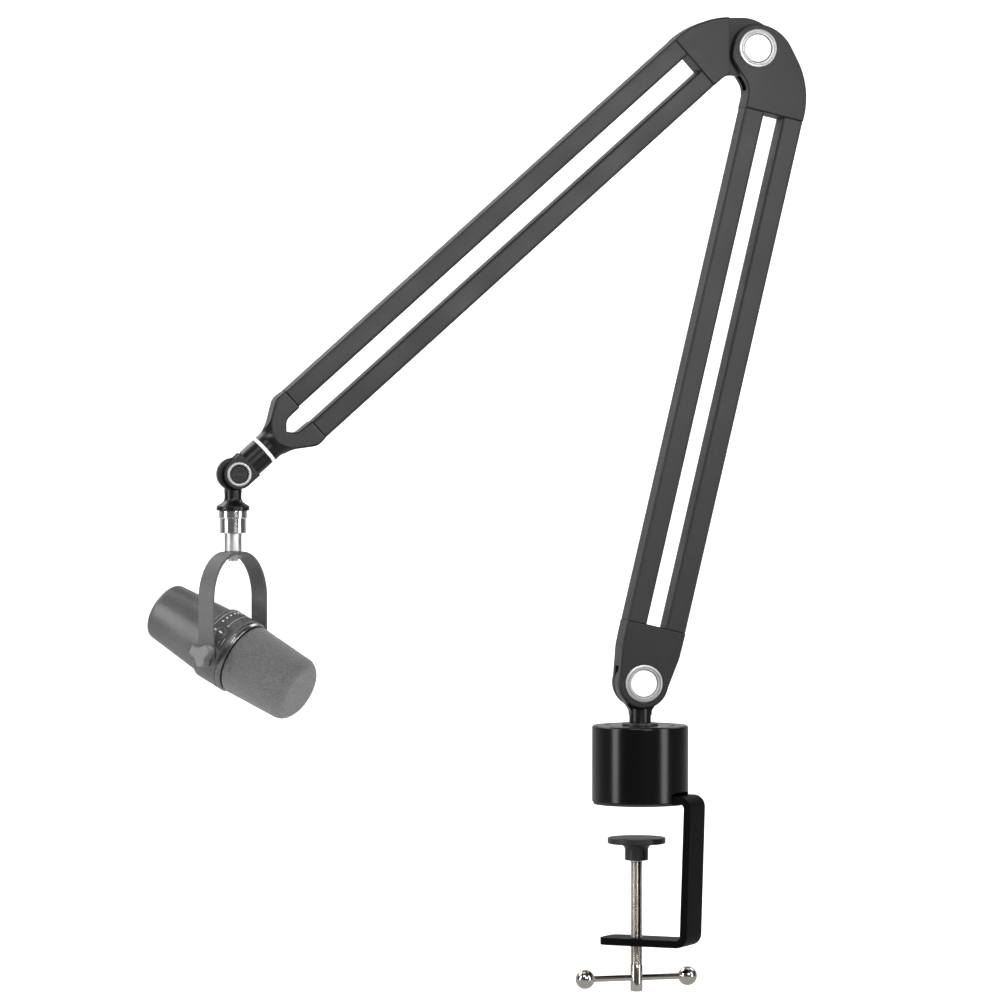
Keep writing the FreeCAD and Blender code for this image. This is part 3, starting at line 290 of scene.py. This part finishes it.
def solder_mask(name):
    """Green board with paler tracks."""
    shader = Shader(name)
    tracks = shader.cells(0.003, "DISTANCE_TO_EDGE")
    green = (0.012, 0.09, 0.035, 1.0)
    track = (0.03, 0.17, 0.07, 1.0)
    tone = shader.blend(shader.span(tracks, 0.04, 0.07, 1, 0), green, track)
    shader.set(Base_Color=tone, Roughness=0.3, Normal=shader.bump(tracks, 0.00004))
    return shader.material


def steel_mesh(name):
    """Woven wire: a fine grid of openings painted dark as shade."""
    shader = Shader(name)
    weave = shader.cells(0.0012)
    # painted shade: the openings are coloured near black for the shade behind the wire
    tone = shader.blend(shader.span(weave, 0.25, 0.4, 0, 1), grey(0.02), grey(0.5))
    shader.set(Base_Color=tone, Metallic=1.0, Roughness=0.35, Normal=shader.bump(weave, 0.0002))
    return shader.material


def make_materials():
    """One material for each of the record's slots, and some for single nodes and for marks."""
    return {
        "arm_black": coated("arm_black", 0.012, 0.44, 0.00045, 0.000025, wear=0.35, shine=0.4),
        "bracket_black": coated("bracket_black", 0.01, 0.42, 0.0005, 0.00003, wear=0.35, shine=0.35),
        "head_black": coated("head_black", 0.005, 0.3, 0.0004, 0.000015, wear=0.4, blotch=0.4, shine=0.35),
        "base_black": coated("base_black", 0.002, 0.2, 0.0004, 0.000005, wear=0.35, blotch=0.1, shine=0.32),
        "bar_black": coated("bar_black", 0.003, 0.36, 0.0005, 0.00003, wear=0.6, blotch=0.6, shine=0.02),
        "bush_black": coated("bush_black", 0.025, 0.35, 0.0003, 0.00001, wear=0.2),
        "foot_rubber": rubber("foot_rubber", 0.022),
        "pad_plastic": coated("pad_plastic", 0.014, 0.38, 0.0004, 0.00002, wear=0.4, shine=0.35),
        "nickel": metal("nickel", (0.6, 0.56, 0.52, 1.0), 0.08, soften=0.00006),
        "steel": metal("steel", (0.6, 0.6, 0.6, 1.0), 0.42),
        "silver_ring": metal("silver_ring", (0.45, 0.45, 0.45, 1.0), 0.36, metallic=0.75),
        "cap_white": coated("cap_white", 0.95, 0.35, 0.0006, 0.000006, wear=0.0, blotch=0.1, coat=0.2),
        "cap_texture": coated("cap_texture", 0.008, 0.36, 0.0008, 0.0002, wear=0.3, shine=0.5),
        "nylon": coated("nylon", 0.88, 0.4, 0.0006, 0.000006, wear=0.0, blotch=0.3),
        "mic_grey": coated("mic_grey", 0.088, 0.34, 0.0004, 0.000012, wear=0.25),
        "mic_strap": coated("mic_strap", 0.088, 0.42, 0.0004, 0.000012, wear=0.35, shine=0.35),
        "panel_grey": coated("panel_grey", 0.07, 0.26, 0.0006, 0.000004, wear=0.1, coat=0.5),
        "light_white": lit_plastic("light_white", (0.8, 0.8, 0.79, 1.0), 0.15),
        "trim_dark": metal("trim_dark", (0.3, 0.3, 0.3, 1.0), 0.22),
        "chrome": metal("chrome", (0.9, 0.9, 0.91, 1.0), 0.14, soften=0.0001),
        "mark_grey": coated("mark_grey", 0.36, 0.35, 0.0005, 0.000003, wear=0.0),
        "rim_grey": coated("rim_grey", 0.15, 0.35, 0.0005, 0.000003, wear=0.0),
        "knob_grey": coated("knob_grey", 0.12, 0.36, 0.0005, 0.00003, wear=0.25),
        "foam": foam("foam", 0.108),
        "mesh_steel": steel_mesh("mesh_steel"),
        "capsule_gold": metal("capsule_gold", (0.85, 0.62, 0.28, 1.0), 0.2),
        "board_green": solder_mask("board_green"),
    }


# nodes whose finish in the photo differs from the rest of their slot
FINISHES = {
    "lower_anchor_pins": "arm_black",
    "upper_anchor_pins": "arm_black",
    "arm_yoke": "head_black",
    "head_barrel": "head_black",
    "stem": "head_black",
    "swivel_post": "head_black",
    "trim_ring": "trim_dark",
    "thread_sleeve": "chrome",
    "mic_post": "steel",
}


def dress_nodes(materials):
    """Give every CAD node its slot's material; a few have their own finish."""
    for part in frame["record"]["subparts"]:
        mesh = nodes[part["node"]].data
        slot = FINISHES.get(part["node"], part["material_slot"])
        mesh.materials.clear()
        mesh.materials.append(materials[slot])


# ---------------------------------------------------------------- mesh tools


def new_object(name, points, faces, material):
    """An object in the scene made of points and of faces that number them."""
    mesh = bpy.data.meshes.new(name)
    mesh.from_pydata([tuple(p) for p in points], [], faces)
    mesh.update()
    thing = bpy.data.objects.new(name, mesh)
    bpy.context.scene.collection.objects.link(thing)
    mesh.materials.append(material)
    return thing


def smooth(thing, angle=40):
    """Shade an object smooth, except at edges sharper than an angle in degrees."""
    thing.data.polygons.foreach_set("use_smooth", [True] * len(thing.data.polygons))
    thing.data.set_sharp_from_angle(angle=math.radians(angle))
    return thing


def bends(corners, steps=6):
    """Points along an outline of (radius, level, rounding) corners; without rounding they stay sharp."""
    points = []
    for i, corner in enumerate(corners):
        if len(corner) == 2 or i in (0, len(corners) - 1):
            points.append(corner[:2])
            continue
        before, here, after = (Vector(c[:2]) for c in corners[i - 1 : i + 2])
        back = (before - here).normalized()
        ahead = (after - here).normalized()
        half = back.angle(ahead) / 2
        run = corner[2] / math.tan(half)
        centre = here + (back + ahead).normalized() * corner[2] / math.sin(half)
        start = here + back * run - centre
        turn = start.angle_signed(here + ahead * run - centre)
        for step in range(steps + 1):
            angle = -turn * step / steps
            cosine, sine = math.cos(angle), math.sin(angle)
            across = centre.x + start.x * cosine - start.y * sine
            along = centre.y + start.x * sine + start.y * cosine
            points.append((across, along))
    return points


def lathe(name, outline, place, material, segments=96):
    """Turn an open outline of (radius, level) points; ends at radius 0 close to a point."""
    points, faces, rings = [], [], []
    for radius, level in outline:
        if radius < 1e-7:
            rings.append([len(points)] * segments)
            points.append(place @ Vector((0, 0, level)))
            continue
        rings.append(list(range(len(points), len(points) + segments)))
        for n in range(segments):
            angle = 2 * math.pi * n / segments
            points.append(place @ Vector((radius * math.cos(angle), radius * math.sin(angle), level)))
    for low, high in zip(rings, rings[1:]):
        for n in range(segments):
            after = (n + 1) % segments
            corners = list(dict.fromkeys((low[n], low[after], high[after], high[n])))
            if len(corners) > 2:
                faces.append(corners)
    return smooth(new_object(name, points, faces, material))


def merged(name, things):
    """Join loose parts of one piece into a single object."""
    points, faces = [], []
    for thing in things:
        first = len(points)
        points += [v.co.copy() for v in thing.data.vertices]
        faces += [[first + v for v in face.vertices] for face in thing.data.polygons]
    material = things[0].data.materials[0]
    for thing in things:
        bpy.data.objects.remove(thing)
    return smooth(new_object(name, points, faces, material))


def strip(name, place, radius, levels, angles, proud, material, steps):
    """A thin raised band on a round surface; angles are degrees from the top towards -X."""
    points, faces = [], []
    section = [(-proud, levels[0]), (proud, levels[0]), (proud, levels[1]), (-proud, levels[1])]
    for step in range(steps + 1):
        angle = math.radians(angles[0] + (angles[1] - angles[0]) * step / steps)
        for lift, level in section:
            out = radius + lift
            points.append(place @ Vector((-out * math.sin(angle), out * math.cos(angle), level)))
    for step in range(steps):
        for n in range(4):
            here, after = 4 * step + n, 4 * step + (n + 1) % 4
            faces.append((here, after, after + 4, here + 4))
    faces.append((3, 2, 1, 0))
    faces.append(tuple(4 * steps + n for n in range(4)))
    return smooth(new_object(name, points, faces, material), 30)


def pill(name, place, length, width, low, high, material):
    """A raised bar with round ends along Y of its place."""
    steps = 12
    rim = []
    for end in (1, -1):
        for step in range(steps + 1):
            angle = math.pi * step / steps
            across, along = math.cos(angle) * width / 2, math.sin(angle) * width / 2
            rim.append((end * across, end * (along + length / 2 - width / 2)))
    count = len(rim)
    points = [place @ Vector((x, y, level)) for level in (low, high) for x, y in rim]
    faces = [tuple(reversed(range(count))), tuple(range(count, 2 * count))]
    faces += [(n, (n + 1) % count, count + (n + 1) % count, count + n) for n in range(count)]
    return smooth(new_object(name, points, faces, material), 30)


# ---------------------------------------------------------------- pieces added to the CAD


def facing_frame(joint, front):
    """A frame on a hinge with Z pointing out of its front or back face."""
    return frame_of(hinge_point(joint), (0, -1 if front else 1, 0), (1, 0, 0))


def add_hinge_rings(materials):
    """Turned rings with a fine groove, round the white discs of the arm's hinges."""
    groove_half = 0.35 * MM
    floor_half = 0.25 * MM
    groove_depth = 0.8 * MM
    edge = 0.1 * MM
    for joint, rings, discs in (
        ("lower_hinge", "lower_hinge_rings", "lower_hinge_discs"),
        ("elbow_hinge", "elbow_rings", "elbow_discs"),
    ):
        centre, axis = hinge_point(joint), Vector((0, 1, 0))
        outer = radius_of(rings, centre, axis)
        inner = radius_of(discs, centre, axis) + 0.4 * MM
        low = reach(discs, centre, axis)[1] - 1.6 * MM
        high = reach(rings, centre, axis)[1]
        groove = inner + 0.42 * (outer - inner)
        outline = bends([
            (inner, low),
            (inner, high, 0.4 * MM),
            (groove - groove_half, high, edge),
            (groove - floor_half, high - groove_depth, edge),
            (groove + floor_half, high - groove_depth, edge),
            (groove + groove_half, high, edge),
            (outer, high - 0.15 * MM, 0.6 * MM),
            (outer, low),
        ])
        for front in (True, False):
            name = f"{rings}_{'front' if front else 'back'}"
            ring = lathe(name, outline, facing_frame(joint, front), materials["silver_ring"], 128)
            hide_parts(rings)
            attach(ring, "lower_arm")


def add_head_caps(materials):
    """Bright ring and dark, ridged and dished middle on both ends of the head's tilting axle."""
    centre, axis = hinge_point("head_tilt"), Vector((0, 1, 0))
    outer = radius_of("tilt_caps", centre, axis)
    high = reach("tilt_caps", centre, axis)[1]
    low = high - 2.0 * MM
    lip = outer - 1.8 * MM
    dish = high - 1.0 * MM
    rim = lip - 0.05 * MM
    ridge_half, ridge_height = 0.4 * MM, 0.35 * MM
    ridges = []
    for part in (0.78, 0.54, 0.3):
        radius = part * lip
        ridges.append((radius + ridge_half, dish))
        ridges.append((radius, dish + ridge_height))
        ridges.append((radius - ridge_half, dish))
    ring = bends([
        (lip, low),
        (lip, high, 0.35 * MM),
        (outer, high, 0.7 * MM),
        (outer, low),
    ])
    middle = bends([
        (rim, low),
        (rim, high - 0.5 * MM, 0.3 * MM),
        *ridges,
        (0, dish),
    ])
    for front in (True, False):
        side = "front" if front else "back"
        place = facing_frame("head_tilt", front)
        for kind, outline, slot in (("ring", ring, "silver_ring"), ("middle", middle, "cap_texture")):
            piece = lathe(f"head_cap_{kind}_{side}", outline, place, materials[slot])
            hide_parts("tilt_caps")
            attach(piece, "head")


def threaded(radius, low, high, pitch, depth, place, material, segments):
    """A rod with a right-hand thread cut in it, fading out at both ends."""
    steps = 12
    # the thread's flat crest and its flank, as parts of half a pitch
    crest, flank = 0.14, 0.72
    points, faces = [], []
    count = round((high - low) / pitch * steps)
    for row in range(count + 1):
        level = low + (high - low) * row / count
        fade = min(1.0, (level - low) / pitch, (high - level) / pitch)
        for n in range(segments):
            turn = n / segments
            rise = abs(2 * ((level / pitch - turn) % 1.0) - 1)
            out = radius - depth * fade * min(max((rise - crest) / flank, 0.0), 1.0)
            angle = 2 * math.pi * turn
            points.append(place @ Vector((out * math.cos(angle), out * math.sin(angle), level)))
    for row in range(count):
        here, above = row * segments, (row + 1) * segments
        for n in range(segments):
            after = (n + 1) % segments
            faces.append((here + n, here + after, above + after, above + n))
    return smooth(new_object("thread", points, faces, material), 60)


def cut_away(thing, drill):
    """Cut a drill's shape out of an object, and remove the drill."""
    hole = thing.modifiers.new("hole", "BOOLEAN")
    hole.operation = "DIFFERENCE"
    hole.solver = "EXACT"
    hole.object = drill
    bpy.context.view_layer.update()
    drilled = thing.evaluated_get(bpy.context.evaluated_depsgraph_get())
    mesh = bpy.data.meshes.new_from_object(drilled)
    thing.modifiers.clear()
    thing.data = mesh
    bpy.data.objects.remove(drill)


def add_clamp_screw(materials):
    """M8 spindle: reduced tip in the pad, cut thread, plain foot with a hole for the bar."""
    pitch, thread_depth = 1.25 * MM, 0.62 * MM
    segments = 56
    centre = hinge_point("screw_turn")
    place = Matrix.Translation((centre.x, centre.y, 0))
    low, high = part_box("clamp_screw")
    bar_low, bar_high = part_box("handle_bar")
    bar_level = (bar_low.z + bar_high.z) / 2
    radius = radius_of("clamp_screw", centre, Vector((0, 0, 1)))
    tip_radius = radius - 1 * MM
    thread_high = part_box("clamp_pad")[0].z - 0.3 * MM
    thread_low = bar_level + 8.2 * MM
    nickel = materials["nickel"]
    thread = threaded(radius, thread_low, thread_high, pitch, thread_depth, place, nickel, segments)
    tip = lathe("tip", bends([
        (radius, thread_high),
        (tip_radius, thread_high),
        (tip_radius, high.z, 0.5 * MM),
        (0, high.z),
    ]), place, nickel, segments)
    foot = lathe("foot", bends([
        (0, low.z),
        (radius, low.z, 0.8 * MM),
        (radius, thread_low),
    ]), place, nickel, segments)
    screw = merged("clamp_screw_threaded", [thread, tip, foot])
    hole_middle = Vector((centre.x, centre.y, bar_level))
    along = frame_of(hole_middle, joint_axis("handle_slide"), (0, 0, 1))
    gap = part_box("handle_balls")[1].z - bar_level
    drill_radius = (bar_high.z - bar_low.z) / 2 + 0.05 * MM
    drill_outline = [(0, -gap), (drill_radius, -gap), (drill_radius, gap), (0, gap)]
    cut_away(screw, lathe("drill", drill_outline, along, nickel, 40))
    smooth(screw, 35)
    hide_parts("clamp_screw")
    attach(screw, "spindle")


def microphone_frame():
    """Z along the microphone to its front, X along its pivots, Y to its upper side."""
    across = joint_axis("mic_tilt")
    ahead = across.cross(joint_axis("mute_press")).normalized()
    centre = hinge_point("mic_tilt")
    middle = (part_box("windscreen")[0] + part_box("windscreen")[1]) / 2
    if ahead.dot(middle - centre) < 0:
        ahead = -ahead
    return frame_of(centre, ahead, across)


def pore_depth(spot):
    """0 on the foam's cell walls and up to 1 in the middle of an open cell."""
    depth = 0.0
    for size, share in ((1.25 * MM, 0.65), (0.8 * MM, 0.35)):
        near, far = noise.voronoi(spot / size)[0][:2]
        depth += min(1.0, 1.3 * (far - near)) * share
    return depth


def foam_outline(widest, back, front, step):
    """The windscreen's round-nosed side, with points no further apart than about a step."""
    side = bends([
        (widest - 5.5 * MM, back),
        (widest, back, 2.4 * MM),
        (widest * 0.9, front, 7.5 * MM),
        (0, front),
    ], 14)
    outline = [side[0]]
    for point in side[1:]:
        last = Vector(outline[-1])
        run = Vector(point) - last
        pieces = max(1, round(run.length / step))
        outline += [tuple(last + run * n / pieces) for n in range(1, pieces + 1)]
    return outline


def into_foam(spot, front):
    """The direction into the foam: towards its axis, and backwards too at its nose."""
    near_axis, nose = 4 * MM, 6 * MM
    backwards = Vector((0, 0, -1))
    inward = Vector((-spot.x, -spot.y, 0))
    slope = min(1.0, inward.length / near_axis)
    inward = inward.normalized() * slope
    if spot.z > front - nose:
        inward += backwards
    return inward.normalized() if inward.length >= 1e-6 else backwards


def add_windscreen(place, materials):
    """Open-cell foam cover: its pores and soft unevenness are cut into the surface."""
    pore, sag, sag_size = 0.3 * MM, 0.22 * MM, 9 * MM
    centre, ahead = place.translation, place.to_3x3().col[2]
    back, front = reach("windscreen", centre, ahead)
    widest = radius_of("windscreen", centre, ahead)
    step, segments = ((0.42 * MM, 330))
    outline = foam_outline(widest, back, front, step)
    cover = lathe("foam_windscreen", outline, place, materials["foam"], segments)
    local = place.inverted()
    for vertex in cover.data.vertices:
        spot = local @ vertex.co
        unevenness = 0.5 + 0.5 * noise.noise(spot / sag_size)
        depth = pore * pore_depth(spot) + sag * unevenness
        vertex.co = place @ (spot + into_foam(spot, front) * depth)
    smooth(cover, 80)
    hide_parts("windscreen")
    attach(cover, "microphone")


def add_panel_marks(place, materials):
    """Thin generic markings on the control panel: border, slider and short bars."""
    proud = 0.05 * MM
    centre, ahead = place.translation, place.to_3x3().col[2]
    face = radius_of("control_panel", centre, ahead)
    back, front = reach("control_panel", centre, ahead)
    slider = back + 9.3 * MM
    # levels along the microphone, angles round it in degrees, and steps of the curve
    marks = {
        "border": ((back + 1.0 * MM, back + 1.5 * MM), (-64, 62), 48),
        "slider": ((slider, slider + 0.5 * MM), (-30, 38), 48),
        "front_bar": ((front - 1.3 * MM, front - 0.75 * MM), (60, 73), 48),
        "short_bar": ((front - 3.6 * MM, front - 3.1 * MM), (68, 73), 48),
        "slider_knob": ((slider - 0.45 * MM, slider + 0.95 * MM), (39, 42.6), 6),
    }
    strips = [
        strip(name, place, face, levels, angles, proud, materials["mark_grey"], steps)
        for name, (levels, angles, steps) in marks.items()
    ]
    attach(merged("panel_marks", strips), "microphone")


def add_button_mark(place, materials):
    """A short bar on the mute button, and a fine ring round it."""
    proud = 0.05 * MM
    centre, ahead = place.translation, place.to_3x3().col[2]
    out = -joint_axis("mute_press")
    middle = (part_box("mute_button")[0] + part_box("mute_button")[1]) / 2
    level = (middle - centre).dot(ahead)
    button = frame_of(centre + ahead * level, out, ahead.cross(out))
    top = reach("mute_button", centre, out)[1]
    face = radius_of("control_panel", centre, ahead)
    radius = radius_of("mute_button", centre + ahead * level, out)
    white = materials["light_white"]
    bar = pill("button_bar", button, 2.7 * MM, 1.1 * MM, top - proud, top + proud, white)
    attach(bar, "mute_key")
    rim = lathe("button_rim", bends([
        (radius + 0.1 * MM, face - 0.5 * MM),
        (radius + 0.1 * MM, face + 0.12 * MM, 0.1 * MM),
        (radius + 0.6 * MM, face + 0.02 * MM, 0.2 * MM),
        (radius + 0.6 * MM, face - 0.6 * MM),
    ]), button, materials["rim_grey"], 64)
    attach(rim, "microphone")


# ---------------------------------------------------------------- stage, light and camera


def backdrop_paint():
    """Matt white that glows a little, dim in reflections and clear when seen from behind.

    The dimness stands in for a studio's black flags, and keeps the black parts dark.
    """
    shader = Shader("backdrop")
    mottle = shader.noise(0.4)
    reflected = shader.add("ShaderNodeLightPath").outputs["Is Glossy Ray"]
    tone = shader.blend(shader.span(mottle, 0.3, 0.7, 0, 1), grey(0.86), grey(0.9))
    tone = shader.blend(reflected, tone, grey(0.3))
    glow = shader.blend(reflected, grey(0.9), grey(0.25))
    behind = shader.add("ShaderNodeNewGeometry").outputs["Backfacing"]
    shader.set(Base_Color=tone, Roughness=0.9, Emission_Color=glow, Emission_Strength=0.42)
    shader.set(Alpha=shader.combine("SUBTRACT", 1.0, behind))
    return shader.material


def add_stage():
    """A pale floor curving up into a backdrop, with room below the clamp for the arm to swing."""
    floor = cad_box[0].z - 0.08
    front, back, rise = -0.7, 1.6, 2.4
    curve, curve_steps = 0.7, 16
    half_width = 4.0
    profile = [(front, 0.0)]
    for step in range(curve_steps + 1):
        angle = math.pi / 2 * step / curve_steps
        profile.append((back - curve + curve * math.sin(angle), curve - curve * math.cos(angle)))
    profile.append((back, rise))
    points = [(x, y, floor + z) for x in (-half_width, half_width) for y, z in profile]
    count = len(profile)
    faces = [(n, n + count, n + count + 1, n + 1) for n in range(count - 1)]
    smooth(new_object("backdrop", points, faces, backdrop_paint()), 60)


def area_light(name, spot, aim, width, height, power):
    """A rectangular light at a spot, facing its aim; sizes in metres and power in watts."""
    data = bpy.data.lights.new(name, "AREA")
    data.shape = "RECTANGLE"
    data.size = width
    data.size_y = height
    data.energy = power
    light = bpy.data.objects.new(name, data)
    light.location = spot
    light.rotation_euler = (aim - spot).to_track_quat("-Z", "Y").to_euler()
    bpy.context.scene.collection.objects.link(light)


def add_lights():
    """Tall softboxes on both sides, lights in front, above and behind, and two on the backdrop."""
    middle = (cad_box[0] + cad_box[1]) / 2
    softbox_distance, softbox_rise = 1.7, 0.08
    for side, heading, power in (("left", -72, 18), ("right", 50, 15)):
        turn = math.radians(heading)
        away = softbox_distance * Vector((math.sin(turn), -math.cos(turn), softbox_rise))
        area_light(f"softbox_{side}", middle + away, middle, 0.45, 1.9, power)
    here, backdrop = (0, 0, 0), (0, 1.3, -0.1)
    # spots and aims are measured from the middle of the object
    for name, spot, aim, width, height, power in (
        ("front", (-0.7, -1.9, 1.7), here, 1.0, 0.6, 17),
        ("top", (0.0, 0.2, 1.7), here, 1.4, 0.9, 5),
        ("front_panel", (0.23, -1.28, 0.3), (0.05, -0.3, 0.3), 0.4, 0.4, 7),
        ("rear", (-0.8, 1.3, 1.2), here, 1.0, 0.8, 9),
        ("backdrop_left", (-1.3, 0.7, 1.2), backdrop, 1.0, 1.0, 11),
        ("backdrop_right", (1.3, 0.7, 1.2), backdrop, 1.0, 1.0, 11),
    ):
        area_light(name, middle + Vector(spot), middle + Vector(aim), width, height, power)


def add_world():
    """White to the camera, and only a faint fill to everything else."""
    fill = 0.1
    world = bpy.data.worlds.new("studio")
    world.use_nodes = True
    tree = world.node_tree
    seen = tree.nodes.new("ShaderNodeLightPath").outputs["Is Camera Ray"]
    strength = tree.nodes.new("ShaderNodeMapRange")
    strength.inputs["To Min"].default_value = fill
    tree.links.new(seen, strength.inputs["Value"])
    tree.links.new(strength.outputs["Result"], tree.nodes["Background"].inputs["Strength"])
    tree.nodes["Background"].inputs["Color"].default_value = grey(1.0)
    bpy.context.scene.world = world


def add_camera():
    """A long lens a little to the left of the arm's plane, and tones with no film curve."""
    heading = math.radians(10.5)
    distance, rise = 3.236, 0.0179
    aim = Vector((-0.0928, 0, 0.1981))
    spot = aim + distance * Vector((-math.sin(heading), -math.cos(heading), rise))
    data = bpy.data.cameras.new("camera")
    data.lens = 180
    data.sensor_width = 36
    camera = bpy.data.objects.new("camera", data)
    camera.location = spot
    camera.rotation_euler = (aim - spot).to_track_quat("-Z", "Y").to_euler()
    bpy.context.scene.collection.objects.link(camera)
    bpy.context.scene.camera = camera
    bpy.context.scene.view_settings.view_transform = "Standard"


materials = make_materials()
dress_nodes(materials)
add_hinge_rings(materials)
add_head_caps(materials)
add_clamp_screw(materials)
microphone = microphone_frame()
add_windscreen(microphone, materials)
add_panel_marks(microphone, materials)
add_button_mark(microphone, materials)
add_stage()
add_lights()
add_world()
add_camera()
